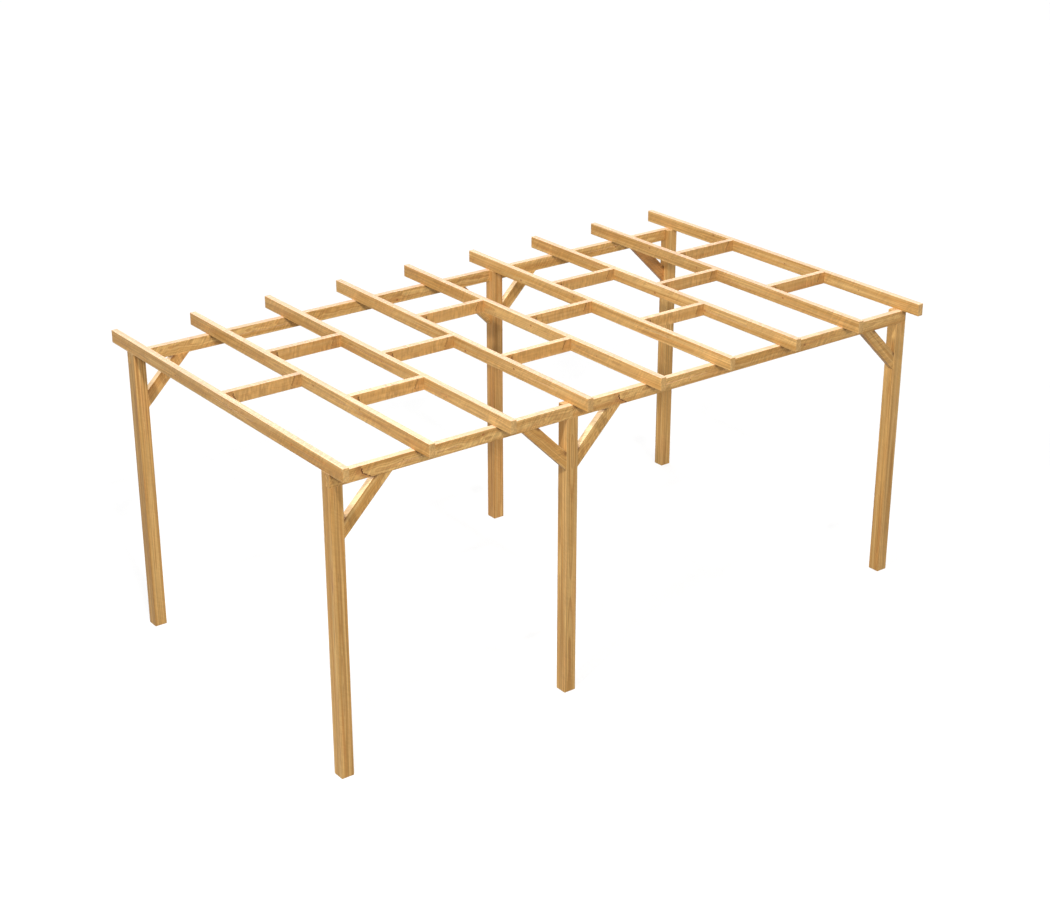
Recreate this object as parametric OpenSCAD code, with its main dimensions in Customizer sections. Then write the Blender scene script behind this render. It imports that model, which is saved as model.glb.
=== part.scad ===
// Freestanding timber pergola with a flat, open roof.
// Six square posts carry two lines of beams, one along the front and one along the rear.
// Each beam line is two pieces that meet over its middle post, and lies in laps cut
// out of the outer side of the post heads. Mitred knee braces stiffen every post
// along its beam line. Nine rafters lie across the beams and overhang both of them,
// with noggings between them: one in the first bay, two in the next, and so on.
// The front middle post stands under the fourth rafter from the left, and the rear
// one under the fourth from the right.
// X runs along the beams, Y from front to rear, Z up from the ground.
// The origin is on the ground, under the centre of the roof.

/* [Frame] */
// Depth over the outer faces of the front and rear posts
frame_depth = 2622; // [2000:1:3200]
// Height of the posts, which is also the height of the tops of the beams
post_height = 2100; // [1900:10:2600]
// Side of the square posts
post_side = 90; // [80:1:120]
// Width of the bevel that eases the long edges of every timber
arris = 3; // [1:0.5:6]

/* [Beams] */
// Thickness of a beam, front to rear
beam_thickness = 45; // [30:1:60]
// Depth of a beam, top to bottom
beam_depth = 90; // [80:1:140]

/* [Knee braces] */
// Length of a brace's run down the post and along the beam, at its outer edge
brace_leg = 356; // [300:1:500]
// Width of a brace, square to its slope
brace_width = 90; // [60:1:110]
// Thickness of a brace, front to rear
brace_thickness = 45; // [30:1:55]
// Distance that a brace stands back from the outer face of its post
brace_setback = 2.5; // [0:0.5:25]

/* [Roof] */
// Gap between two rafters, which is also the length of a nogging
rafter_gap = 564; // [450:1:700]
// Thickness of a rafter, left to right
rafter_thickness = 45; // [35:1:60]
// Depth of a rafter, top to bottom
rafter_depth = 90; // [80:1:160]
// Length of a rafter beyond the outer face of the front posts
front_overhang = 154; // [50:1:300]
// Length of a rafter beyond the outer face of the rear posts
rear_overhang = 224; // [50:1:400]
// Thickness of a nogging, front to rear
nogging_thickness = 45; // [35:1:60]
// Distance to the rear face of the front noggings from the rafters' front ends, and
// to the rear face of the rear noggings from the rafters' rear ends
nogging_place = 992; // [600:1:1000]

/* [Hidden] */
RAFTERS = 9;
BAYS = RAFTERS - 1;
// The rafter over a middle post, counted from the left in front and from the right at the rear
POST_RAFTER = 4;
ROWS = ["front", "rear"];
COLUMNS = ["left", "middle", "right"];
SIDES = ["left", "right"];
// Each brace of a row: its name, the column of its post, and which way along X it rises
BRACES = [["left", 0, 1], ["middle_left", 1, -1], ["middle_right", 1, 1], ["right", 2, -1]];
// How far a cutting shape reaches past what it cuts
OVERCUT = 5;

rafter_length = front_overhang + frame_depth + rear_overhang;
rafter_spacing = rafter_thickness + rafter_gap;

// Right and left ends of the frame, and the outer faces of the front and rear posts
frame_right = (BAYS * rafter_spacing + rafter_thickness) / 2;
frame_left = -frame_right;
front_face = -rafter_length / 2 + front_overhang;
rear_face = front_face + frame_depth;

// Height of the undersides of the beams, on the shoulders of the posts' laps
shoulder = post_height - beam_depth;

// Left face of a rafter, counted from 0
function rafter_x(i) = frame_left + i * rafter_spacing;

// The middle posts stand flush with one face of the rafter over them: its right face in
// front, and its left face at the rear
front_middle_x = rafter_x(POST_RAFTER - 1) + rafter_thickness - post_side;
rear_middle_x = rafter_x(RAFTERS - POST_RAFTER);

// Left faces of the posts, by row and column
POST_X = [
    [frame_left, front_middle_x, frame_right - post_side],
    [frame_left, rear_middle_x, frame_right - post_side]
];

// The first bay holds one nogging halfway along, the next one a front and a rear one, by turns
function bay_places(bay) = bay % 2 == 0 ? ["middle"] : ["front", "rear"];

// Front face of a nogging
function nogging_y(place) =
    place == "front" ? -rafter_length / 2 + nogging_place - nogging_thickness :
    place == "rear" ? rafter_length / 2 - nogging_place - nogging_thickness :
    -nogging_thickness / 2;

// Puts a row's parts on its face of the frame. They are drawn for the front row,
// with the outer face at y = 0, and the rear row is its mirror image.
module on_row(row) {
    if (row == 0)
        translate([0, front_face, 0]) children();
    else
        translate([0, rear_face, 0]) mirror([0, 1, 0]) children();
}

// Cross-section of a timber, with its four edges eased
module section(width, depth) {
    polygon([
        [arris, 0],
        [width - arris, 0],
        [width, arris],
        [width, depth - arris],
        [width - arris, depth],
        [arris, depth],
        [0, depth - arris],
        [0, arris]
    ]);
}

// A timber that lies along +X, thickness by depth, from the origin
module timber_x(length, thickness, depth) {
    rotate([90, 0, 90])
        linear_extrude(length) section(thickness, depth);
}

// A timber that lies along +Y, thickness by depth, from the origin
module timber_y(length, thickness, depth) {
    translate([0, length, 0])
        rotate([90, 0, 0])
            linear_extrude(length) section(thickness, depth);
}

// A post. The outer side of its head is cut away down to a shoulder that carries the
// beam, and the inner side stands up behind the beam.
module post(row, column) {
    color("#c8a064")
        on_row(row)
            translate([POST_X[row][column], 0, 0])
                difference() {
                    linear_extrude(post_height) section(post_side, post_side);
                    translate([-OVERCUT, -OVERCUT, shoulder])
                        cube([
                            post_side + 2 * OVERCUT,
                            beam_thickness + OVERCUT,
                            beam_depth + OVERCUT
                        ]);
                }
}

// One of the two pieces of a beam line, from the frame's end to the middle of its middle post
module beam(row, side) {
    joint = POST_X[row][1] + post_side / 2;
    start = side == "left" ? frame_left : joint;
    end = side == "left" ? joint : frame_right;
    color("#be945e")
        on_row(row)
            translate([start, 0, shoulder])
                timber_x(end - start, beam_thickness, beam_depth);
}

// A knee brace at 45 degrees, in the corner between a post and the beam. It rises to the
// left (direction -1) or to the right (direction 1). Its foot is mitred against the side
// of the post, and its head against the underside of the beam.
module brace(row, column, direction) {
    foot = POST_X[row][column] + (direction > 0 ? post_side : 0);
    color("#c4965a")
        on_row(row)
            translate([foot, brace_setback, shoulder])
                mirror([direction > 0 ? 0 : 1, 0, 0])
                    intersection() {
                        translate([0, 0, -brace_leg])
                            rotate([0, -45, 0])
                                translate([-OVERCUT, 0, 0])
                                    timber_x(
                                        brace_leg * sqrt(2) + 2 * OVERCUT,
                                        brace_thickness,
                                        brace_width
                                    );
                        translate([0, -OVERCUT, -brace_leg - OVERCUT])
                            cube([
                                brace_leg + OVERCUT,
                                brace_thickness + 2 * OVERCUT,
                                brace_leg + OVERCUT
                            ]);
                    }
}

// A rafter, laid across the tops of both beams, with square ends
module rafter(i) {
    color("#d2a96e")
        translate([rafter_x(i), -rafter_length / 2, post_height])
            timber_y(rafter_length, rafter_thickness, rafter_depth);
}

// A nogging between the two rafters of a bay, as deep as they are
module nogging(bay, place) {
    color("#c9a46c")
        translate([rafter_x(bay) + rafter_thickness, nogging_y(place), post_height])
            timber_x(rafter_gap, nogging_thickness, rafter_depth);
}

for (row = [0 : 1]) {
    for (column = [0 : 2])
        post(row, column);

    for (side = SIDES)
        beam(row, side);

    for (b = BRACES)
        brace(row, b[1], b[2]);
}

for (i = [0 : RAFTERS - 1])
    rafter(i);

for (bay = [0 : BAYS - 1])
    for (place = bay_places(bay))
        nogging(bay, place);
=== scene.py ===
"""Looks of the freestanding timber pergola.

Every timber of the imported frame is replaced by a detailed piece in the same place: rounded
arrises, drying cracks cut into its faces, shallow knots, and a wood material that runs along
the timber's own length. All lengths are in metres.
"""
import math
import random
from collections import namedtuple

import bpy
import numpy as np
from mathutils import Matrix, Vector


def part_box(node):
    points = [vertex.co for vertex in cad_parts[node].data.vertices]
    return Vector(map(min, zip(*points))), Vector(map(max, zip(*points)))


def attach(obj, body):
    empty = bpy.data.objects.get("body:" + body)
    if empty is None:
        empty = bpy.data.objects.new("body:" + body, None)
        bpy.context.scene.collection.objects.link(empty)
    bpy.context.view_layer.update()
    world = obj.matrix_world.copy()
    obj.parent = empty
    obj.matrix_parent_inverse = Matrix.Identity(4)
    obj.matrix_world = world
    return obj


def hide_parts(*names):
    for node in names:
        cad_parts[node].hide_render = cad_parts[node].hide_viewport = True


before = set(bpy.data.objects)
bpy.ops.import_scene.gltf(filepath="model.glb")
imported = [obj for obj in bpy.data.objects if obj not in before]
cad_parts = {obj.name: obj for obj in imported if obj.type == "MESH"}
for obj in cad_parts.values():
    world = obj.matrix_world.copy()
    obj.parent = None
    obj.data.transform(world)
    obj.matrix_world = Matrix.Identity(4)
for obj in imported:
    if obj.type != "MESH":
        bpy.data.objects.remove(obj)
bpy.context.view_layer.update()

# ---------------------------------------------------------------- sizes
ARRIS = 0.0018  # radius of the rounded long edges
ARRIS_TURNS = (30, 60)  # degrees round an arris at which the mesh has vertices
EDGE_FADE = 0.002  # how far the wear of an arris reaches into a face
EDGE_WEAR = 0.6  # the wear where an arris meets a face, as a share of that on the arris
END_EASE = 0.001  # bevel round the sawn ends
END_WEAR = 0.7  # the wear behind that bevel, as a share of that on it
MITRE_EASE = 0.0004  # the bevel on the braces, whose ends bear on other timbers
CAP_INSET = 0.004  # how far the wear of an end reaches, over the end grain and lengthwise
BRACE_WIDTH = 0.090  # width of a brace, square to its slope
SHARP_ANGLE = 50  # degrees between two faces from which the edge between them stays sharp

COLUMN_STEP = 0.012  # spacing of the mesh across a face
COLUMN_GAP = 0.002  # and the least there
RING_STEP = 0.060  # spacing of the mesh along a timber
RING_GAP = 0.0025  # and the least there
SHORT_TIMBER = 0.6  # a timber shorter than this has a finer mesh
SHORT_STEPS = 24  # and that many steps along it

CRACK_HALF = 0.0008  # half the width of a drying crack
CRACK_DARK = 0.0015  # a crack this deep gets the full painted shade inside it
CRACK_STEP = 0.020  # spacing of the mesh along a crack
CRACK_STEPS = 8  # and the fewest steps along it
CRACK_END = 0.12  # a crack stops this far before the timber's end
CRACK_CLEAR = 0.0032  # no other vertices lie so close to the path of a crack

KNOT_DISH = 0.0005  # depth of the hollow over a knot
KNOT_STRETCH = 1.25  # a knot's length along the grain over its width
KNOT_DEPTH = 0.2  # a knot would taper to nothing so far from the timber's middle
KNOT_REACH = 0.060  # a knot disturbs the grain this far from its middle
FLAT = 0.99  # a vertex that faces so squarely is on a flat face, where a knot is dished
# where the mesh has vertices over a knot, as shares of its radius: across it and along it
KNOT_COLUMNS = (-1.1, -0.5, 0, 0.5, 1.1)
KNOT_RINGS = (-3, -2, *KNOT_COLUMNS, 2, 3)

# painted shade in the corners of the joints: how far along a timber, and how far down from its
# upper side, it reaches, and how plain it is: over the head and foot of a brace, and under a rafter
# on a beam
BRACE_CORNER_SHADE = (0.034, 0.026, 0.75)
BEAM_CORNER_SHADE = (0.029, 0.036, 0.55)
CORNER_SHADE_RISE = 1.8  # how steeply the painted shade grows to its full share, from the edge of its reach

# bark pockets: the place along the timber, the way it leans, its share, and its height
BEAM_POCKETS = {"front_left_beam": ((0.232, 1, 1.0, -0.008),),
                "front_right_beam": ((0.391, 1, 1.0, -0.008),)}
# on the noggings the stain beside each pocket runs to a rafter and paints the shade of that corner
NOGGING_POCKETS = ((0.066, 1, 0.8, -0.006), (0.506, -1, 0.5, 0.012))
NO_POCKET = (-9.0, 0.0, 0.0)  # far beside it, with no share

# ---------------------------------------------------------------- growth
SEED = 1208
KNOT_COUNT = {"posts": 0, "beams": 2, "rafters": 3, "braces": 0, "noggings": 0}
CRACKED_SIDES = {"posts": (3, 2), "beams": (3,), "rafters": (0,), "braces": (), "noggings": ()}
# the least and the most of what is drawn
KNOT_SHIFT = (-0.3, 0.3)  # along the timber, as shares of the gap between two knots
KNOT_PLACE = (-0.6, 0.6)  # across its face, as shares of half of that
KNOT_RADIUS = (0.003, 0.007)
CRACK_START = (0.10, 0.55)  # as shares of the timber's length
CRACK_LENGTH = (0.25, 0.60)
CRACK_PLACE = (-0.012, 0.012)
CRACK_WANDER = (0.0008, 0.0022)
CRACK_TURNS = (5, 11)  # radians of its wave from end to end
CRACK_PHASE = (0, 6)
CRACK_DEPTH = (0.003, 0.007)
NEAR_PITH = (-0.03, 0.03)
FAR_PITH = (0.03, 0.07)
GRAIN_START = (0, 9)  # where along the tree a timber was cut


def growth(draw, slot, length, width, depth):
    """The knots, the cracks and the pith of one timber, drawn in a fixed order."""
    axis = "z" if depth < width else "y"
    half = (width if axis == "z" else depth) / 2
    count = KNOT_COUNT[slot]
    gap = length / (count + 1)
    knots = [{
        "axis": axis, "u": gap * (i + 1) + draw.uniform(*KNOT_SHIFT) * gap,
        "at": draw.uniform(*KNOT_PLACE) * half, "radius": draw.uniform(*KNOT_RADIUS),
    } for i in range(count)]
    cracks = []
    for side in CRACKED_SIDES[slot]:
        start = draw.uniform(*CRACK_START) * length
        end = min(start + draw.uniform(*CRACK_LENGTH), length - CRACK_END)
        cracks.append({
            "side": side, "start": start, "end": end,
            "at": draw.uniform(*CRACK_PLACE), "wander": draw.uniform(*CRACK_WANDER),
            "turns": draw.uniform(*CRACK_TURNS), "phase": draw.uniform(*CRACK_PHASE),
            "depth": draw.uniform(*CRACK_DEPTH),
        })
    if slot == "posts":
        pith = (draw.uniform(*NEAR_PITH), draw.uniform(*NEAR_PITH))
    else:
        wide = draw.uniform(*NEAR_PITH)
        narrow = draw.choice((-1, 1)) * draw.uniform(*FAR_PITH)
        pith = (wide, narrow) if depth < width else (narrow, wide)
    return knots, cracks, pith


# ---------------------------------------------------------------- meshes
# A timber is made along its own axis u, from 0 to its length, with its section centred on
# the axis: width along y, depth along z. Its four sides are numbered anticlockwise, seen
# from its far end: 0 faces -z, 1 faces +y, 2 faces +z and 3 faces -y.
SIDES = ((0, -1), (1, 0), (0, 1), (-1, 0))

# A line of vertices that runs along a timber: its side, its place across that side, its turn
# round the arris, its wear, and the crack that it follows, if any, at an offset
Column = namedtuple("Column", "side place turn wear crack offset", defaults=(0.0, 0.0, None, 0.0))


def side_spans(width, depth, side):
    """Half the length of a side, and its distance from the axis."""
    return (width / 2, depth / 2) if side % 2 == 0 else (depth / 2, width / 2)


def crack_line(crack, u):
    """Where a crack lies across its side, at each place along the timber."""
    t = (u - crack["start"]) / (crack["end"] - crack["start"])
    return crack["at"] + crack["wander"] * np.sin(crack["turns"] * t + crack["phase"])


def crack_depth(crack, u):
    """How deep a crack is, at each place along the timber."""
    t = np.clip((u - crack["start"]) / (crack["end"] - crack["start"]), 0, 1)
    return crack["depth"] * np.sqrt(np.sin(math.pi * t))


def section_columns(width, depth, knots, cracks):
    """The columns of a timber, anticlockwise round its section."""
    columns = []
    for side in range(4):
        half, _ = side_spans(width, depth, side)
        flat = half - ARRIS
        inner = flat - EDGE_FADE
        steps = max(2, round(2 * inner / COLUMN_STEP))
        spots = [-inner + 2 * inner * i / steps for i in range(1, steps)]
        for knot in knots:
            if (knot["axis"] == "z") == (side % 2 == 0):
                sign = 1 if side < 2 else -1
                spots += [sign * knot["at"] + knot["radius"] * k for k in KNOT_COLUMNS]
        found = [Column(side, -flat, wear=EDGE_WEAR), Column(side, -inner),
                 Column(side, inner), Column(side, flat, wear=EDGE_WEAR)]
        for crack in cracks:
            if crack["side"] == side:
                clear = crack["wander"] + CRACK_CLEAR
                spots = [s for s in spots if abs(s - crack["at"]) > clear]
                found += [Column(side, crack["at"] + offset, crack=crack, offset=offset)
                          for offset in (-CRACK_HALF, 0.0, CRACK_HALF)]
        last = -inner
        for spot in sorted(spots):
            if spot - last > COLUMN_GAP and inner - spot > COLUMN_GAP:
                found.append(Column(side, spot))
                last = spot
        columns += sorted(found, key=lambda c: c.place)
        columns += [Column(side, flat, math.radians(turn), 1.0) for turn in ARRIS_TURNS]
    return columns


def place_columns(columns, width, depth, u):
    """Places y and z, outward directions, and how far each vertex is pressed in by a crack."""
    shape = (len(u), len(columns))
    y, z, out_y, out_z, press = (np.zeros(shape) for _ in range(5))
    for i, column in enumerate(columns):
        _, reach = side_spans(width, depth, column.side)
        across = np.full(len(u), column.place)
        cosine, sine = math.cos(column.turn), math.sin(column.turn)
        across += ARRIS * sine
        reach -= ARRIS * (1 - cosine)
        if column.crack is not None:
            across = crack_line(column.crack, u) + column.offset
            if column.offset == 0.0:
                press[:, i] = crack_depth(column.crack, u)
        normal, along = SIDES[column.side], SIDES[(column.side + 1) % 4]
        out = reach - press[:, i]
        y[:, i] = normal[0] * out + along[0] * across
        z[:, i] = normal[1] * out + along[1] * across
        out_y[:, i] = normal[0] * cosine + along[0] * sine
        out_z[:, i] = normal[1] * cosine + along[1] * sine
    return y, z, out_y, out_z, press


def ring_places(length, knots, cracks, joints):
    """Places along a timber where its mesh has a ring, apart from the ends."""
    clear = length - 2 * CAP_INSET
    count = max(3, round(clear / RING_STEP))
    places = [CAP_INSET + clear * i / count for i in range(count + 1)]
    for knot in knots:
        places += [knot["u"] + knot["radius"] * KNOT_STRETCH * k for k in KNOT_RINGS]
    if length < SHORT_TIMBER:
        places += [length * k / SHORT_STEPS for k in range(1, SHORT_STEPS)]
    places += [place + along * k / 2 for place, (along, _, _) in joints for k in range(-2, 3)]
    for crack in cracks:
        span = crack["end"] - crack["start"]
        pieces = max(CRACK_STEPS, round(span / CRACK_STEP))
        places += [crack["start"] + span * i / pieces for i in range(pieces + 1)]
    kept = []
    for place in sorted(places):
        inside = CAP_INSET <= place <= length - CAP_INSET
        if inside and (not kept or place - kept[-1] > RING_GAP):
            kept.append(place)
    return kept


def from_knot(knot, u, y, z):
    """Vector from a knot's axis to each point, its length along the grain taken in."""
    along = (u - knot["u"]) / KNOT_STRETCH
    level = np.zeros_like(z)
    if knot["axis"] == "z":
        return np.stack([along, y - knot["at"], level], axis=-1)
    return np.stack([along, level, z - knot["at"]], axis=-1)


def knot_width(knot, y, z):
    """A knot's radius at each point. It tapers away from the timber's middle."""
    share = np.clip((z if knot["axis"] == "z" else y) / KNOT_DEPTH, -1, 1)
    return knot["radius"] * np.sqrt(1 - share**2)


def attribute(mesh, name, values, kind="FLOAT"):
    """Gives each vertex of a mesh a value, or a vector with kind FLOAT_VECTOR."""
    made = mesh.attributes.new(name, kind, "POINT")
    field = "vector" if kind == "FLOAT_VECTOR" else "value"
    made.data.foreach_set(field, np.asarray(values, np.float32).ravel())


def timber_mesh(name, length, width, depth, knots, cracks, joints, mitred):
    """A closed timber. With mitred, its ends lean in at 45 degrees towards +z."""
    columns = section_columns(width, depth, knots, cracks)
    # each ring: its place, its inset from the section, and its wear
    ease, wear = (MITRE_EASE, 0.0) if mitred else (END_EASE, 1.0)
    start = [(0.0, CAP_INSET, 0.0), (0.0, ease, wear), (ease, 0.0, END_WEAR * wear)]
    rings = start + [(u, 0.0, 0.0) for u in ring_places(length, knots, cracks, joints)]
    rings += [(length - u, inset, worn) for u, inset, worn in reversed(start)]
    ring_u, inset, ring_wear = (np.array(v)[:, None] for v in zip(*rings))

    y, z, out_y, out_z, press = place_columns(columns, width, depth, ring_u[:, 0])
    u = ring_u + np.zeros_like(y)
    for knot in knots:
        near = np.clip(1 - (from_knot(knot, u, y, z) ** 2).sum(-1) / knot["radius"] ** 2, 0, 1)
        facing = np.abs(out_z if knot["axis"] == "z" else out_y) > FLAT
        y -= out_y * KNOT_DISH * near * facing
        z -= out_z * KNOT_DISH * near * facing
    y *= 1 - 2 * inset / width
    z *= 1 - 2 * inset / depth
    if mitred:
        u += (z + depth / 2) * (1 - 2 * u / length)

    index = np.arange(y.size).reshape(y.shape)
    after = np.roll(index, -1, axis=1)
    faces = np.stack([index[:-1], after[:-1], after[1:], index[1:]], axis=2).reshape(-1, 4).tolist()
    # each end closes in a fan about a hub in its middle
    hub = depth / 2 if mitred else 0.0
    hubs = [[hub, 0.0, 0.0], [length - hub, 0.0, 0.0]]
    faces += [[b, a, index.size] for a, b in zip(index[0].tolist(), after[0].tolist())]
    faces += [[a, b, index.size + 1] for a, b in zip(index[-1].tolist(), after[-1].tolist())]
    mesh = bpy.data.meshes.new(name)
    mesh.from_pydata(np.stack([u, y, z], axis=2).reshape(-1, 3).tolist() + hubs, [], faces)

    edge = np.maximum(np.array([c.wear for c in columns])[None, :], ring_wear)
    edge[[0, -1]] = 0
    end = np.zeros_like(edge)
    end[[0, 1, -2, -1]] = 1
    # wear of the arrises and ends, and painted shade inside the cracks
    for key, values, at_hubs in (("edge", edge, 0), ("end", end, 1),
                                 ("crack", np.clip(press / CRACK_DARK, 0, 1), 0)):
        attribute(mesh, key, [*values.ravel(), at_hubs, at_hubs])
    piece = bpy.data.objects.new(name, mesh)
    bpy.context.scene.collection.objects.link(piece)
    return piece


def cut_box(piece, low, high):
    """Cuts a box out of a piece."""
    corners = [[(low, high)[i][0], (low, high)[j][1], (low, high)[k][2]]
               for i in (0, 1) for j in (0, 1) for k in (0, 1)]
    faces = [(0, 1, 3, 2), (4, 6, 7, 5), (0, 4, 5, 1), (2, 3, 7, 6), (0, 2, 6, 4), (1, 5, 7, 3)]
    mesh = bpy.data.meshes.new("cutter")
    mesh.from_pydata(corners, [], faces)
    cutter = bpy.data.objects.new("cutter", mesh)
    bpy.context.scene.collection.objects.link(cutter)
    modifier = piece.modifiers.new("lap", "BOOLEAN")
    modifier.object, modifier.operation, modifier.solver = cutter, "DIFFERENCE", "EXACT"
    depsgraph = bpy.context.evaluated_depsgraph_get()
    cut = bpy.data.meshes.new_from_object(
        piece.evaluated_get(depsgraph), preserve_all_data_layers=True, depsgraph=depsgraph)
    piece.modifiers.clear()
    whole, piece.data = piece.data, cut
    bpy.data.meshes.remove(whole)
    bpy.data.objects.remove(cutter)
    bpy.data.meshes.remove(mesh)
    cut.name = piece.name


def mark_grain(mesh, knots, pith, shift, tone, flush, pockets, joints):
    """Gives each vertex its place in the tree, the way to the nearest knot, its place beside
    the nearest bark pocket, its tone, how reddish it is, which on some rear timbers is painted
    warm shade, and how much painted shade it gets from the nearest joint."""
    at = np.zeros(len(mesh.vertices) * 3, np.float32)
    mesh.vertices.foreach_get("co", at)
    at = at.reshape(-1, 3).astype(float)
    u, y, z = at.T
    away = np.full(at.shape, KNOT_REACH)
    radius = np.zeros(len(at))
    nearest = np.full(len(at), KNOT_REACH)
    for knot in knots:
        vector = from_knot(knot, u, y, z)
        distance = np.linalg.norm(vector, axis=1)
        near = distance < nearest
        away[near], nearest[near] = vector[near], distance[near]
        radius[near] = knot_width(knot, y[near], z[near])
    # beside the pocket, how plain the pocket is, and height over its middle
    pocket = np.tile(NO_POCKET, (len(at), 1))
    for place, direction, share, height in pockets:
        beside = (u - place) * direction
        near = np.abs(beside) < np.abs(pocket[:, 0])
        pocket[near] = np.stack([beside, np.full(len(at), share), z - height], axis=1)[near]
    # painted shade in the corners of the nearest joints, strongest at the timber's upper side
    corner_shade = np.zeros(len(at))
    for place, (along, down, share) in joints:
        reach = 1 - np.hypot((u - place) / along, (z - z.max()) / down)
        corner_shade = np.maximum(corner_shade, share * np.clip(CORNER_SHADE_RISE * reach, 0, 1))
    attribute(mesh, "grain", at + np.array([shift, -pith[0], -pith[1]]), "FLOAT_VECTOR")
    attribute(mesh, "knot", away, "FLOAT_VECTOR")
    attribute(mesh, "knot_radius", radius)
    attribute(mesh, "pocket", pocket, "FLOAT_VECTOR")
    attribute(mesh, "tone", np.full(len(at), tone))
    attribute(mesh, "flush", np.full(len(at), flush))
    attribute(mesh, "corner_shade", corner_shade)


# ---------------------------------------------------------------- node trees
def linear(*rgb):
    """A colour that is written as on a screen, from 0 to 255, as Blender wants it."""
    shares = [c / 255 for c in rgb]
    return (*[s / 12.92 if s <= 0.04045 else ((s + 0.055) / 1.055) ** 2.4 for s in shares], 1.0)


class Graph:
    """A node tree, built from nothing by short calls."""

    def __init__(self, owner):
        owner.use_nodes = True
        self.tree = owner.node_tree
        self.tree.nodes.clear()

    def node(self, kind, inputs=(), **settings):
        """A node. Each of its inputs is a socket to link, or a constant."""
        made = self.tree.nodes.new(kind)
        for key, value in settings.items():
            setattr(made, key, value)
        for key, value in dict(inputs).items():
            if isinstance(value, bpy.types.NodeSocket):
                self.tree.links.new(value, made.inputs[key])
            else:
                made.inputs[key].default_value = value
        return made

    def math(self, operation, *values):
        return self.node("ShaderNodeMath", enumerate(values), operation=operation).outputs[0]

    def times(self, first, *others):
        """The product of all the values."""
        for other in others:
            first = self.math("MULTIPLY", first, other)
        return first

    def plus(self, *values):
        return self.math("ADD", *values)

    def minus(self, *values):
        return self.math("SUBTRACT", *values)

    def vector_math(self, operation, *values):
        made = self.node("ShaderNodeVectorMath", enumerate(values), operation=operation)
        return made.outputs["Value" if operation == "LENGTH" else "Vector"]

    def attribute(self, name, output="Fac"):
        return self.node("ShaderNodeAttribute", attribute_name=name).outputs[output]

    def vector(self, x, y, z):
        return self.node("ShaderNodeCombineXYZ", enumerate((x, y, z))).outputs[0]

    def split(self, vector):
        """The three parts of a vector."""
        return list(self.node("ShaderNodeSeparateXYZ", {0: vector}).outputs)

    def noise(self, vector, detail=2.0, roughness=0.5, output="Fac"):
        return self.node("ShaderNodeTexNoise", {
            "Vector": vector, "Scale": 1.0, "Detail": detail, "Roughness": roughness,
        }).outputs[output]

    def smooth(self, value, low, high, to_low=0.0, to_high=1.0):
        """Leads smoothly from to_low to to_high, as the value goes from low to high."""
        return self.node("ShaderNodeMapRange", {
            "Value": value, "From Min": low, "From Max": high, "To Min": to_low,
            "To Max": to_high,
        }, interpolation_type="SMOOTHSTEP").outputs[0]

    def mix(self, factor, a, b):
        """A mix of two colours."""
        made = self.node("ShaderNodeMix", ((0, factor), (6, a), (7, b)), data_type="RGBA")
        return made.outputs[2]

    def seen(self):
        """1 for the rays that see a white studio, and 0 for those that only light the object."""
        rays = self.node("ShaderNodeLightPath").outputs
        either = self.math("MAXIMUM", rays["Is Camera Ray"], rays["Is Glossy Ray"])
        return self.math("MAXIMUM", either, rays["Is Transmission Ray"])


# ---------------------------------------------------------------- wood
BASE_LOOK = {
    # a year's growth, how plain its dark line is, and how many strips of like years a metre has
    "ring": 0.0045, "late_share": 0.50, "strips": 75.0,
    # lines a metre across the grain, their contrast, and that of the fibres
    "lines": 110.0, "line": 0.14, "fibre": 0.10,
    # how far the tree's axis wanders, how often, and how the grain curls
    "wander": 0.030, "wander_rate": 0.9, "curl": 0.004, "curl_rate": 5.0, "curl_lean": 10.0,
    # the contrast of the cross figure, its ripples a metre, and how they lean
    "figure": 0.05, "figure_rate": 60.0, "figure_lean": 40.0,
    # shares of the reddish clouds, the resin streaks, the painted light on upper faces and its
    # part that a level face keeps, and the rubbed ends, and how a bark pocket leans
    "flush_share": 0.30, "streak": 0.6, "painted_top_light_share": 0.9, "level_top_light_share": 1.0,
    "end_share": 0.0, "pocket_lean": 1.8,
    "pale": linear(216, 174, 108), "honey": linear(188, 141, 76), "late": linear(160, 108, 52),
    "flush": linear(192, 122, 62), "knot": linear(160, 104, 58), "knot_dark": linear(106, 58, 18),
    "bark": linear(84, 42, 10), "stain_and_shade": linear(150, 92, 44), "painted_top_light": linear(202, 168, 137),
    "rubbed": linear(220, 182, 124),
}
CROSS_FIGURE = {"curl": 0.012, "curl_rate": 9.0, "curl_lean": 16.0, "line": 0.05,
                "figure": 0.21, "figure_rate": 90.0, "figure_lean": 63.0}
LOOKS = {
    "posts": {"painted_top_light": linear(160, 138, 120), "painted_top_light_share": 0.35},
    "beams": {**CROSS_FIGURE, "painted_top_light": linear(207, 173, 142)},
    "braces": {**CROSS_FIGURE, "painted_top_light": linear(214, 184, 142), "painted_top_light_share": 1.0,
               "level_top_light_share": 0.0},
    "rafters": {"pale": linear(214, 172, 108), "honey": linear(192, 144, 78),
                "painted_top_light": linear(206, 173, 143), "late_share": 0.38, "line": 0.11,
                "figure": 0.12, "end_share": 0.35},
    "noggings": {**CROSS_FIGURE, "pale": linear(208, 162, 99), "honey": linear(194, 146, 82),
                 "painted_top_light": linear(210, 176, 144), "late_share": 0.15, "line": 0.03,
                 "fibre": 0.05, "figure": 0.22, "figure_rate": 65.0, "figure_lean": 6.0,
                 "flush_share": 0.45, "streak": 0.0, "pocket_lean": 0.5},
}
# lumps a metre, along the grain and across it
CLOUDS = (2.2, 22.0)
FIBRES = (7.0, 420.0)
STREAKS = (3.5, 170.0)
FIGURE_PATCHES = (6.0, 10.0)
# the same in one direction alone
STRIPS_ALONG = 0.5
LINES_ALONG = 0.9
WANDER_ACROSS = 3.0
RIPPLES_ACROSS = 16.0

SMALLEST_KNOT = 0.001  # where no knot is near, the radius is 0
HALO_SHARE, HEART_SHARE, RIM_SHARE = 0.40, 0.8, 0.6
KNOT_RING_COUNT = 4.0

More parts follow.
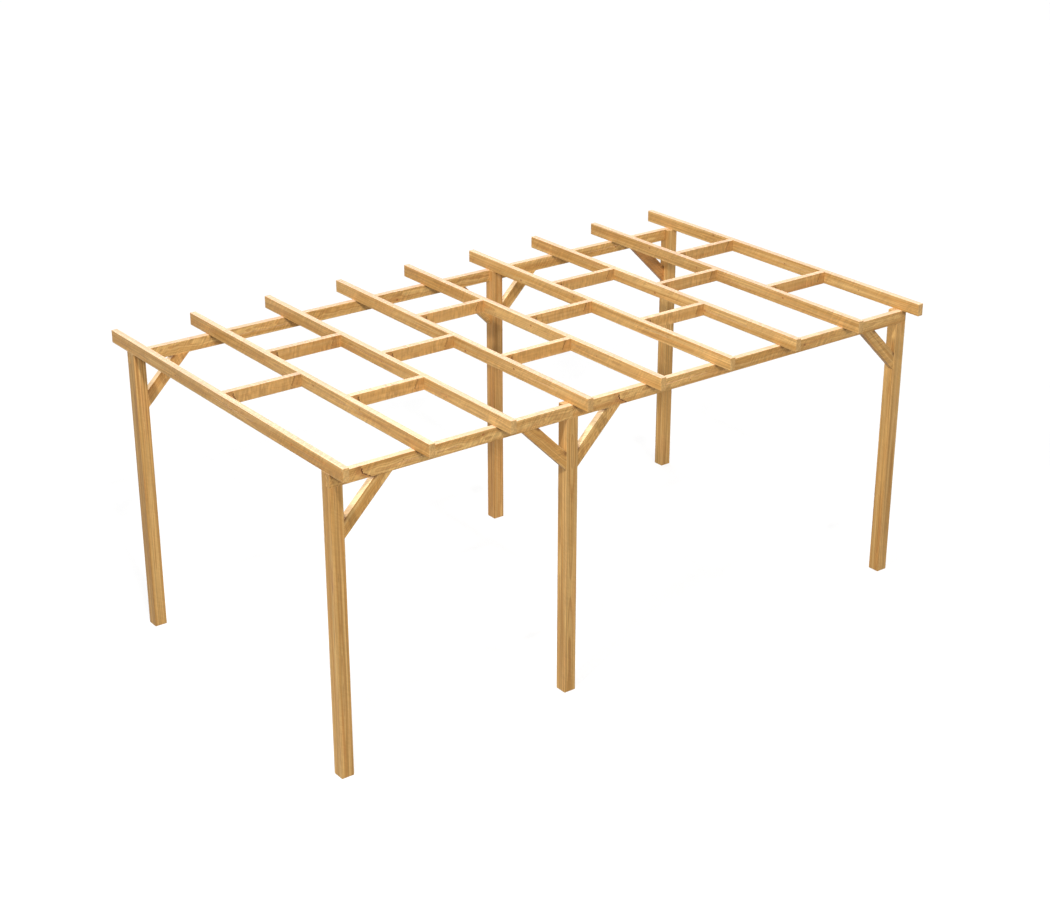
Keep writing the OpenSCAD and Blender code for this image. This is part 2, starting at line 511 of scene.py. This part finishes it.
# A bark pocket. Each pair is where something begins to fade and where it ends.
POCKET_WIDTH = (0.0025, 0.0070)  # from the middle of the dark line
POCKET_HEIGHT = (0.030, 0.038)  # from the middle of the line's height
POCKET_UPPER_LEAN = 0.2
POCKET_LUMPS = 70.0
POCKET_RAGGED = 0.030
SHADE_AND_STAIN_BEHIND = (-0.065, -0.025)
SHADE_AND_STAIN_EDGE = (-0.004, 0.002)
SHADE_AND_STAIN_SHARE = 0.5

SPECULAR = 0.3
BUMP_STRENGTH = 0.35
BUMP_DEPTH = 0.0006

# A point's place in the tree: how far along the timber it is, and where in the tree's section
Place = namedtuple("Place", "along across through")


def grain_noise(g, place, lengthwise, crosswise, **settings):
    """Noise with so many lumps a metre along the grain and across it."""
    return g.noise(g.vector(g.times(place.along, lengthwise), g.times(place.across, crosswise),
                            g.times(place.through, crosswise)), **settings)


def round_knots(g, knot, knot_away, knot_radius):
    """The place in the tree, where the grain runs round a knot as water round a post."""
    swell = g.math("DIVIDE", g.math("POWER", knot_radius, 2.0),
                   g.math("MAXIMUM", g.math("POWER", knot_away, 2.0), 1e-6))
    swell = g.math("MINIMUM", swell, 1.0)
    return g.vector_math("SUBTRACT", g.attribute("grain", "Vector"),
                         g.vector_math("MULTIPLY", knot, g.vector(0, swell, swell)))


def pith_distance(g, look, pushed, place):
    """The distance from the pith, which wanders slowly along the timber while the grain curls."""
    slow = grain_noise(g, place, look["wander_rate"], WANDER_ACROSS, detail=1.0, output="Color")
    shift = g.vector_math("MULTIPLY", g.vector_math("SUBTRACT", slow, (0.5, 0.5, 0.5)),
                          (0.0, look["wander"], look["wander"]))
    curl = grain_noise(g, place, look["curl_rate"], look["curl_lean"], detail=1.5)
    bent = g.vector_math("MULTIPLY", g.vector_math("ADD", pushed, shift), (0.0, 1.0, 1.0))
    return g.plus(g.vector_math("LENGTH", bent), g.times(g.minus(curl, 0.5), look["curl"]))


def cross_figure(g, look, place):
    """Slanting ripples, light and dark about 0, that come and go along the timber."""
    slant = g.plus(g.times(place.along, look["figure_rate"]),
                   g.times(g.minus(place.across, place.through), look["figure_lean"]))
    ripples = g.noise(g.vector(slant, g.times(place.across, RIPPLES_ACROSS),
                               g.times(place.through, RIPPLES_ACROSS)),
                      detail=3.0, roughness=0.6)
    patches = grain_noise(g, place, *FIGURE_PATCHES, detail=1.0)
    return g.times(g.minus(g.smooth(ripples, 0.33, 0.67), 0.5),
                   g.smooth(patches, 0.35, 0.60, 0.7, 2.0))


def with_knots(g, look, colour, knot_away, knot_radius):
    """The colour with its knots, which have a reddish halo, a dark rim and rings of their own.
    Then how far each point is inside a knot, and the knot's rings."""
    ratio = g.math("DIVIDE", knot_away, g.math("MAXIMUM", knot_radius, 1e-4))
    real = g.math("GREATER_THAN", knot_radius, SMALLEST_KNOT)
    halo = g.times(g.smooth(ratio, 1.0, 2.1, HALO_SHARE, 0.0), real)
    inside = g.times(g.smooth(ratio, 0.85, 1.1, 1.0, 0.0), real)
    rim = g.times(g.smooth(ratio, 0.70, 0.98), g.smooth(ratio, 1.0, 1.22, 1.0, 0.0), real)
    rings = g.smooth(g.math("FRACT", g.times(ratio, KNOT_RING_COUNT)), 0.4, 0.95)
    heart = g.mix(g.times(rings, 0.6), look["knot"], look["knot_dark"])
    colour = g.mix(halo, colour, look["flush"])
    colour = g.mix(g.times(inside, HEART_SHARE), colour, heart)
    return g.mix(g.times(rim, RIM_SHARE), colour, look["knot_dark"]), inside, rings


def with_pocket(g, look, colour):
    """The colour with its bark pocket, a dark ragged line that comes down a face and bends
    along the timber, with a stain on one side of it, which on the noggings lies in the corner
    against a rafter and is partly painted shade there. Then how far each point is inside it."""
    beside, share, height = g.split(g.attribute("pocket", "Vector"))
    ragged = g.noise(g.vector(0.0, 0.0, g.times(height, POCKET_LUMPS)), detail=1.0)
    course = g.plus(g.times(g.math("MAXIMUM", height, 0.0), -POCKET_UPPER_LEAN),
                    g.times(g.math("MINIMUM", height, 0.0), -look["pocket_lean"]))
    course = g.plus(course, g.times(g.minus(ragged, 0.5), POCKET_RAGGED))
    off = g.minus(beside, course)
    reach = g.times(share, g.smooth(g.math("ABSOLUTE", height), *POCKET_HEIGHT, 1.0, 0.0))
    pocket = g.times(g.smooth(g.math("ABSOLUTE", off), *POCKET_WIDTH, 1.0, 0.0), reach)
    # a stain beside the pocket, partly painted shade where it meets a rafter on the noggings
    stain_and_shade = g.times(g.smooth(off, *SHADE_AND_STAIN_BEHIND), g.smooth(off, *SHADE_AND_STAIN_EDGE, 1.0, 0.0))
    colour = g.mix(g.times(stain_and_shade, share, SHADE_AND_STAIN_SHARE), colour, look["stain_and_shade"])
    return g.mix(pocket, colour, look["bark"]), pocket


def with_wear_and_painted_light(g, look, colour, clouds):
    """The colour after wear and painted light and shade: painted light on upper faces, edges
    and ends that are rubbed pale, painted shade in the cracks, and painted shade in the joints."""
    # painted light: faces that look up are made paler, as if lit from above
    up = g.split(g.node("ShaderNodeNewGeometry").outputs["Normal"])[2]
    painted_top_light_mask = g.times(g.smooth(up, 0.3, 0.7, 0.0, look["painted_top_light_share"]),
                       g.smooth(up, 0.75, 0.95, 1.0, look["level_top_light_share"]))
    colour = g.mix(painted_top_light_mask, colour, look["painted_top_light"])
    rubbed = g.times(g.attribute("edge"), g.smooth(clouds, 0.35, 0.75, 0.0, 0.30))
    colour = g.mix(rubbed, colour, look["rubbed"])
    colour = g.mix(g.times(g.attribute("end"), look["end_share"]), colour, look["rubbed"])
    # painted shade inside the drying cracks
    colour = g.mix(g.attribute("crack"), colour, look["knot_dark"])
    # painted shade in the corners of the joints, in the colour of bark
    return g.mix(g.attribute("corner_shade"), colour, look["bark"])


def wood(name, look):
    """Softwood in the round: growth rings about the pith at the origin of the grain
    attribute, wandering and curling along the timber, with knots, cracks and worn edges."""
    material = bpy.data.materials.new(name)
    g = Graph(material)
    knot, knot_radius = g.attribute("knot", "Vector"), g.attribute("knot_radius")
    knot_away = g.vector_math("LENGTH", knot)
    pushed = round_knots(g, knot, knot_away, knot_radius)
    place = Place(*g.split(pushed))
    radius = pith_distance(g, look, pushed, place)

    # growth rings: pale early wood that darkens to a sharp line of late wood
    phase = g.math("FRACT", g.math("DIVIDE", radius, look["ring"]))
    late = g.times(g.smooth(phase, 0.30, 0.88), g.smooth(phase, 0.93, 1.0, 1.0, 0.0))
    # broad strips of years that grew alike, long lines, fine fibres and soft clouds
    strips = g.noise(g.vector(g.times(radius, look["strips"]),
                              g.times(place.along, STRIPS_ALONG), 0.0))
    lines = grain_noise(g, place, LINES_ALONG, look["lines"])
    fibres = grain_noise(g, place, *FIBRES, detail=3.0, roughness=0.6)
    clouds = grain_noise(g, place, *CLOUDS)
    streaks = grain_noise(g, place, *STREAKS, detail=1.0)

    colour = g.mix(g.smooth(strips, 0.36, 0.64), look["pale"], look["honey"])
    colour = g.mix(g.times(late, look["late_share"]), colour, look["late"])
    colour = g.mix(g.smooth(clouds, 0.52, 0.80, 0.0, look["flush_share"]), colour, look["flush"])
    # painted warm shade: some rear timbers are made redder all over
    colour = g.mix(g.attribute("flush"), colour, look["flush"])
    colour = g.mix(g.smooth(streaks, 0.66, 0.80, 0.0, look["streak"]), colour, look["stain_and_shade"])
    colour, inside, knot_rings = with_knots(g, look, colour, knot_away, knot_radius)
    colour, pocket = with_pocket(g, look, colour)
    colour = with_wear_and_painted_light(g, look, colour, clouds)
    shade = g.times(
        g.smooth(fibres, 0.25, 0.75, 1 - look["fibre"], 1 + look["fibre"]),
        g.smooth(lines, 0.38, 0.62, 1 - look["line"], 1 + look["line"]),
        g.plus(g.times(cross_figure(g, look, place), look["figure"]), 1.0),
        g.plus(g.attribute("tone"), 1.0))
    colour = g.vector_math("MULTIPLY", colour, shade)

    # late wood and knots are harder and so shine more, and fibres stand up
    roughness = g.plus(g.smooth(fibres, 0.2, 0.8, 0.50, 0.68), g.times(late, -0.08))
    roughness = g.plus(roughness, g.times(inside, -0.08))
    relief = g.plus(g.times(late, -0.5), g.times(fibres, 0.8))
    relief = g.plus(relief, g.times(knot_rings, inside, 0.4))
    relief = g.plus(relief, g.times(pocket, -2.0))
    bump = g.node("ShaderNodeBump", {
        "Strength": BUMP_STRENGTH, "Distance": BUMP_DEPTH, "Height": relief})
    surface = g.node("ShaderNodeBsdfPrincipled", {
        "Base Color": colour, "Roughness": roughness, "Specular IOR Level": SPECULAR,
        "Normal": bump.outputs[0]})
    g.node("ShaderNodeOutputMaterial", {0: surface.outputs[0]})
    return material


MATERIALS = {slot: wood("wood_" + slot, {**BASE_LOOK, **look}) for slot, look in LOOKS.items()}

# ---------------------------------------------------------------- pieces
HALF = math.sqrt(0.5)
# for each slot, the part's directions of a timber's length, width and depth
AXES = {
    "posts": ((0, 0, 1), (1, 0, 0), (0, 1, 0)),
    "beams": ((1, 0, 0), (0, 1, 0), (0, 0, 1)),
    "rafters": ((0, 1, 0), (0, 0, 1), (1, 0, 0)),
    "noggings": ((1, 0, 0), (0, 1, 0), (0, 0, 1)),
}
# the same for a brace, by its place in the row: it rises away from its post
RISES_LEFT = ((HALF, 0, -HALF), (0, 1, 0), (HALF, 0, HALF))
RISES_RIGHT = ((HALF, 0, HALF), (0, 1, 0), (-HALF, 0, HALF))
BRACE_AXES = {"left": RISES_RIGHT, "middle_left": RISES_LEFT,
              "middle_right": RISES_RIGHT, "right": RISES_LEFT}
# how much lighter or darker the timbers of a slot are, and how far each may differ from that
TONES = {"posts": -0.08, "beams": -0.04, "braces": 0.0, "rafters": -0.06, "noggings": -0.09}
TONE_SPREAD = 0.03
# how much lighter or darker a single timber is, on top of that: painted shade and light that
# even out how unevenly the lamps light the timbers, darker at the rear left where the key lamp
# lights most
TIMBER_TONES = {
    "rear_left_post": -0.11, "rear_left_beam": -0.12, "rear_left_brace": -0.12,
    "rear_right_brace": -0.04, "front_left_beam": -0.02, "front_right_beam": 0.04,
    "rafter_1": -0.02, "rafter_2": -0.04, "rafter_3": -0.04, "rafter_4": -0.03,
    "rafter_7": -0.03,
    "bay_1_middle_nogging": -0.15, "bay_2_rear_nogging": -0.10, "bay_3_middle_nogging": -0.06,
    "bay_4_front_nogging": 0.08, "bay_4_rear_nogging": -0.03, "bay_5_middle_nogging": 0.02,
    "bay_6_front_nogging": 0.03, "bay_8_front_nogging": 0.04,
}
# the share of red that some timbers have all over, painted warm shade on these rear timbers
TIMBER_WARM_SHADE = {"rear_right_brace": 0.50, "rear_left_brace": 0.20, "rear_middle_post": 0.20}
OVERCUT = 0.01  # how far the cut of a lap reaches past the post


rafter_places = [sum(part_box(n), Vector()).x / 2 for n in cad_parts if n.startswith("rafter_")]
beam_low, beam_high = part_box("front_left_beam")
beam_thickness = beam_high.y - beam_low.y


def slot_of(name):
    """The slot of a timber: posts for front_left_post, and rafters for rafter_1."""
    return "rafters" if name.startswith("rafter_") else name.rsplit("_", 1)[-1] + "s"


def lie_of(name, slot):
    """A timber's own axes in the part, its middle, and its length, width and depth."""
    low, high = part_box(name)
    middle = (low + high) / 2
    if slot != "braces":
        axes = AXES[slot]
        return axes, middle, *(abs((high - low).dot(Vector(axis))) for axis in axes)
    axes = BRACE_AXES[name.split("_", 1)[1].removesuffix("_brace")]
    # the box's middle is on the brace's lower face
    middle = middle + Vector(axes[2]) * BRACE_WIDTH / 2
    return axes, middle, (high.x - low.x) / HALF, high.y - low.y, BRACE_WIDTH


def joints_of(name, slot, length):
    """Where along a timber the shade of its joints is painted, and the reach and share of it."""
    if slot == "braces":
        return [(place, BRACE_CORNER_SHADE) for place in (BRACE_WIDTH, length - BRACE_WIDTH)]
    if slot == "beams":
        low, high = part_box(name)
        return [(place - low.x, BEAM_CORNER_SHADE) for place in rafter_places if low.x < place < high.x]
    return []


def cut_lap(post, name, length, width, depth):
    """Cuts the lap that the beam lies in out of the outer side of a post's head."""
    outward = -1 if name.startswith("front") else 1
    # in whole micrometres, because the last digits of the beam's box leave slivers
    back = round(outward * (depth / 2 - beam_thickness), 6)
    near, far = sorted((back, outward * (depth / 2 + OVERCUT)))
    cut_box(post, (beam_low.z, -width, near), (length + OVERCUT, width, far))


def timber(name, draw):
    """Makes the detailed piece that stands for a timber of the frame."""
    slot = slot_of(name)
    axes, middle, length, width, depth = lie_of(name, slot)
    joints = joints_of(name, slot, length)
    pockets = NOGGING_POCKETS if slot == "noggings" else BEAM_POCKETS.get(name, ())
    knots, cracks, pith = growth(draw, slot, length, width, depth)
    mitred = slot == "braces"
    piece = timber_mesh("wood_" + name, length, width, depth, knots, cracks, joints, mitred)
    if slot == "posts":
        cut_lap(piece, name, length, width, depth)
    shift = draw.uniform(*GRAIN_START)
    # the tone is partly random and partly painted shade and light from TIMBER_TONES
    tone = TONES[slot] + draw.uniform(-TONE_SPREAD, TONE_SPREAD) + TIMBER_TONES.get(name, 0.0)
    flush = TIMBER_WARM_SHADE.get(name, 0.0)
    mark_grain(piece.data, knots, pith, shift, tone, flush, pockets, joints)
    turn = Matrix(axes).transposed().to_4x4()
    turn.translation = middle - Vector(axes[0]) * length / 2
    piece.data.transform(turn)
    piece.data.update()
    piece.data.shade_smooth()
    piece.data.set_sharp_from_angle(angle=math.radians(SHARP_ANGLE))
    piece.data.materials.append(MATERIALS[slot])
    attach(piece, "root")
    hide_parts(name)


for number, name in enumerate(sorted(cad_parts)):
    timber(name, random.Random(SEED + number))

# ---------------------------------------------------------------- floor and sky
# Both look white to the camera and in reflections, and light the object at a plain level.
FLOOR_HALF = 150.0
FLOOR_DROP = 0.0005
FLOOR_BOUNCE = linear(114, 113, 111)
FLOOR_SEEN = linear(200, 200, 200)
FLOOR_GLOW = 0.45  # share of the floor that is plain white where it is seen
SKY_STRENGTH = 0.50
WHITE = (1.0, 1.0, 1.0, 1.0)

mesh = bpy.data.meshes.new("floor")
mesh.from_pydata([(x * FLOOR_HALF, y * FLOOR_HALF, -FLOOR_DROP)
                  for x, y in ((-1, -1), (1, -1), (1, 1), (-1, 1))], [], [(0, 1, 2, 3)])
floor = bpy.data.objects.new("floor", mesh)
bpy.context.scene.collection.objects.link(floor)
material = bpy.data.materials.new("floor")
g = Graph(material)
seen = g.seen()
lit = g.node("ShaderNodeBsdfDiffuse", {"Color": g.mix(seen, FLOOR_BOUNCE, FLOOR_SEEN)})
glow = g.node("ShaderNodeEmission", {"Color": WHITE, "Strength": seen})
both = g.node("ShaderNodeMixShader", {
    0: g.times(seen, FLOOR_GLOW), 1: lit.outputs[0], 2: glow.outputs[0]})
g.node("ShaderNodeOutputMaterial", {0: both.outputs[0]})
mesh.materials.append(material)

world = bpy.data.worlds.new("studio")
bpy.context.scene.world = world
g = Graph(world)
strength = g.node("ShaderNodeMapRange", {
    "Value": g.seen(), "To Min": SKY_STRENGTH, "To Max": 1.0})
sky = g.node("ShaderNodeBackground", {"Color": WHITE, "Strength": strength.outputs[0]})
g.node("ShaderNodeOutputWorld", {0: sky.outputs[0]})

# ---------------------------------------------------------------- lamps
# a soft lamp in front, to the left and above, whose light falls off slowly
KEY_PLACE = (-3.42, -2.5, 5.2)
KEY_POWER = 122.0
KEY_RADIUS = 0.12
# a wide fill from above, a low one from the front, and a weak one from the rear, which would
# glance off the tops into the camera if it showed in reflections
FILLS = {
    "high_fill": {"travel": (0.18, 0.02, -1.0), "strength": 3.5, "angle": 20.0,
                  "shadow": False, "glossy": True},
    "low_fill": {"travel": (0.36, 1.00, -0.42), "strength": 1.02, "angle": 6.0,
                 "shadow": True, "glossy": True},
    "rear_fill": {"travel": (-0.60, -1.00, -0.25), "strength": 1.00, "angle": 20.0,
                  "shadow": True, "glossy": False},
}

lamp = bpy.data.lights.new("key", "POINT")
lamp.energy, lamp.shadow_soft_size = KEY_POWER, KEY_RADIUS
lamp.use_nodes = True
nodes, links = lamp.node_tree.nodes, lamp.node_tree.links
falloff = nodes.new("ShaderNodeLightFalloff")
falloff.inputs["Strength"].default_value = 1.0
links.new(falloff.outputs["Linear"], nodes["Emission"].inputs["Strength"])
key = bpy.data.objects.new("key", lamp)
key.location = KEY_PLACE
bpy.context.scene.collection.objects.link(key)

for name, made in FILLS.items():
    lamp = bpy.data.lights.new(name, "SUN")
    lamp.energy, lamp.angle = made["strength"], math.radians(made["angle"])
    lamp.use_shadow = made["shadow"]
    fill = bpy.data.objects.new(name, lamp)
    fill.rotation_euler = Vector(made["travel"]).to_track_quat("-Z", "Y").to_euler()
    fill.visible_glossy = made["glossy"]
    bpy.context.scene.collection.objects.link(fill)

# ---------------------------------------------------------------- camera
CAMERA_PLACE = (-7.8964, -10.4669, 6.7850)
CAMERA_PITCH, CAMERA_YAW = 23.2055, 37.0344  # degrees down from level, and from +Y towards +X
SENSOR_WIDTH, LENS = 36.0, 67.287  # mm
CLIP_END = 1000.0

data = bpy.data.cameras.new("camera")
data.sensor_fit, data.sensor_width, data.lens = "HORIZONTAL", SENSOR_WIDTH, LENS
data.clip_end = CLIP_END
camera = bpy.data.objects.new("camera", data)
camera.location = CAMERA_PLACE
camera.rotation_euler = (math.radians(90 - CAMERA_PITCH), 0.0, math.radians(-CAMERA_YAW))
bpy.context.scene.collection.objects.link(camera)
bpy.context.scene.camera = camera
bpy.context.scene.view_settings.view_transform = "Standard"
